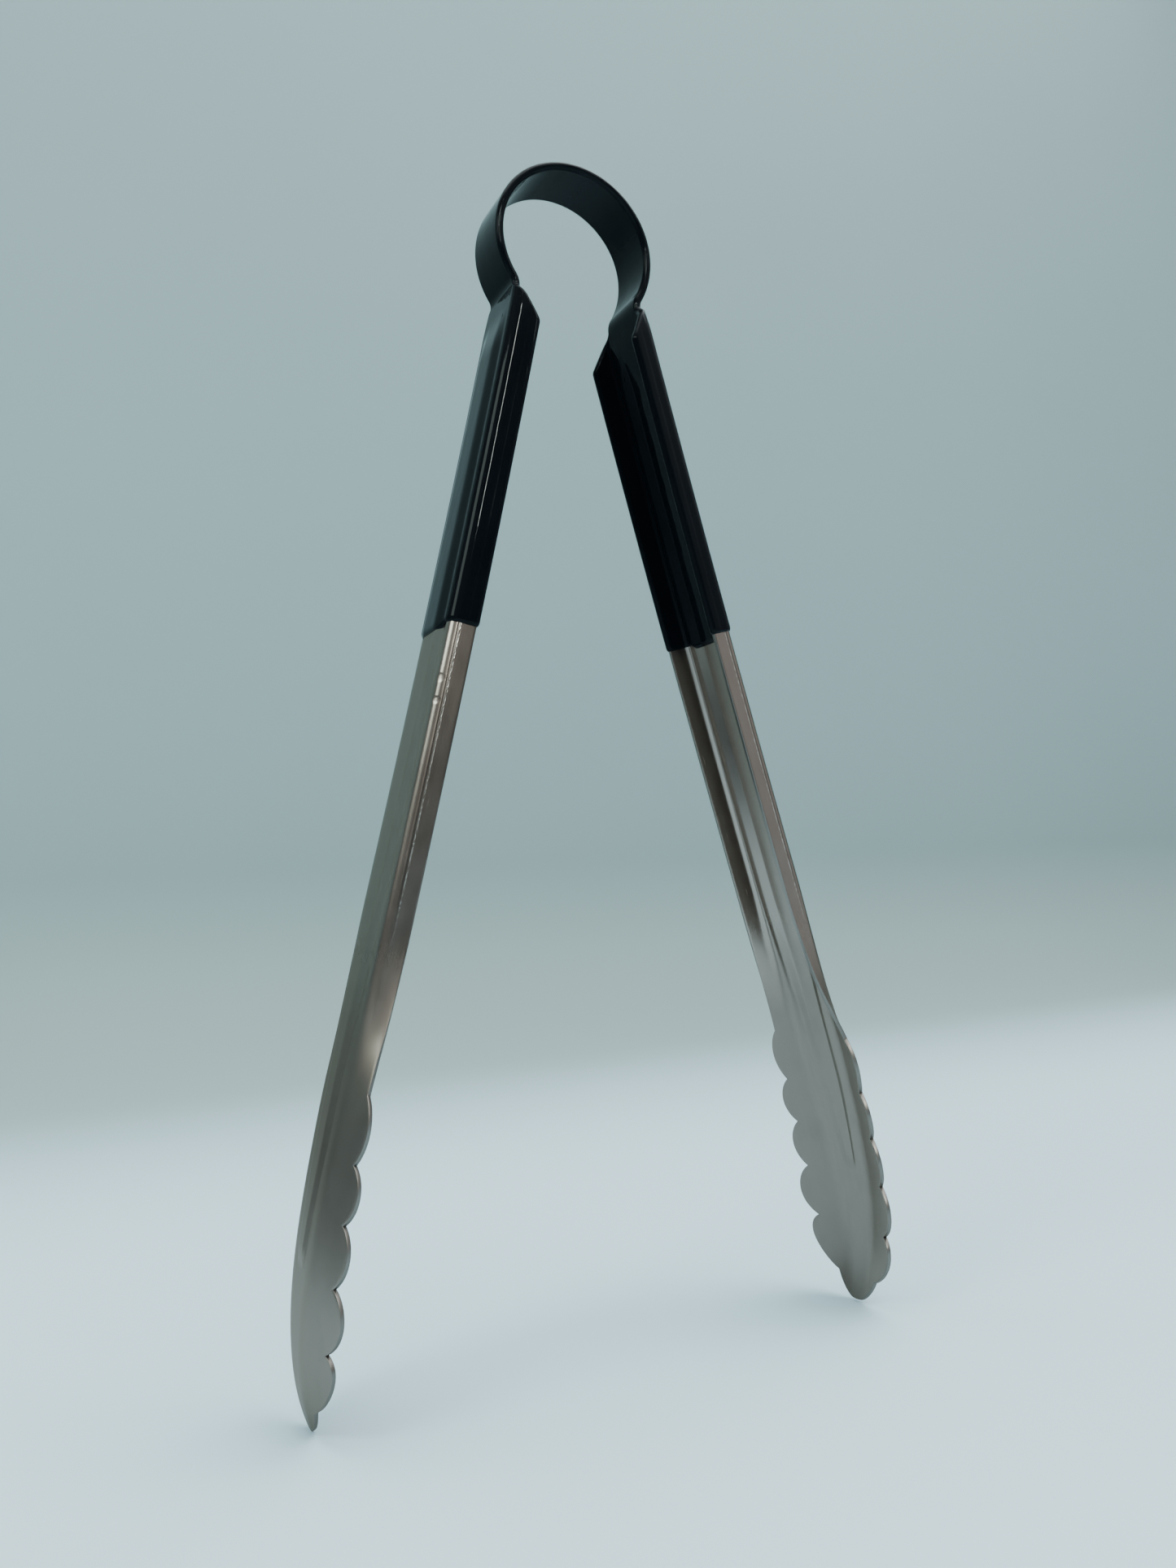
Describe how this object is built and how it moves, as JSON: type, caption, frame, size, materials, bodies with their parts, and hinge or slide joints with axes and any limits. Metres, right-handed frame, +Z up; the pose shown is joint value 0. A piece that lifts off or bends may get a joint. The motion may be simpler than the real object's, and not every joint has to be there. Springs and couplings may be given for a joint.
{
  "type": "kitchen tongs",
  "caption": "One-piece sprung kitchen tongs: a flat steel bow springs ribbed channel arms with scalloped jaws apart, and a glossy black dipped grip covers the bow and handles.",
  "frame": {"origin": "centre of the bottom of the bounding box, between the two jaw tips", "axes": "+Z runs up from the jaw tips to the top of the bow, +X runs from the left arm to the right arm, and Y runs across the strip"},
  "size_m": [0.155, 0.0388, 0.3035],
  "materials": {
    "steel": "satin",
    "vinyl": "gloss"
  },
  "bodies": {
    "bow_top": {"bow_top_steel": "steel", "bow_top_coat": "vinyl"},
    "left_bow": {"left_bow_steel": "steel", "left_bow_coat": "vinyl"},
    "left_arm": {"left_arm_steel": "steel", "left_arm_coat": "vinyl"},
    "right_bow": {"right_bow_steel": "steel", "right_bow_coat": "vinyl"},
    "right_arm": {"right_arm_steel": "steel", "right_arm_coat": "vinyl"}
  },
  "joints": [
    {"name": "left_hinge_1", "type": "hinge", "parent": "bow_top", "child": "left_bow", "pos_m": [-0.0106, 0, 0.29957], "axis": [0, -1, 0], "range_deg": [0, 7.79], "stiffness_Nm_per_rad": 7.15},
    {"name": "left_hinge_2", "type": "hinge", "parent": "left_bow", "child": "left_arm", "pos_m": [-0.02123, 0, 0.28123], "axis": [0, -1, 0], "range_deg": [0, 6.55], "stiffness_Nm_per_rad": 8.58},
    {"name": "right_hinge_1", "type": "hinge", "parent": "bow_top", "child": "right_bow", "pos_m": [0.0106, 0, 0.29957], "axis": [0, 1, 0], "range_deg": [0, 7.83], "stiffness_Nm_per_rad": 7.15},
    {"name": "right_hinge_2", "type": "hinge", "parent": "right_bow", "child": "right_arm", "pos_m": [0.02123, 0, 0.28123], "axis": [0, 1, 0], "range_deg": [0, 6.55], "stiffness_Nm_per_rad": 8.58}
  ],
  "couplings": [
    {"joint": "right_hinge_1", "follows": "left_hinge_1", "ratio": 1},
    {"joint": "left_hinge_2", "follows": "left_hinge_1", "ratio": 0.833},
    {"joint": "right_hinge_2", "follows": "left_hinge_1", "ratio": 0.833}
  ]
}
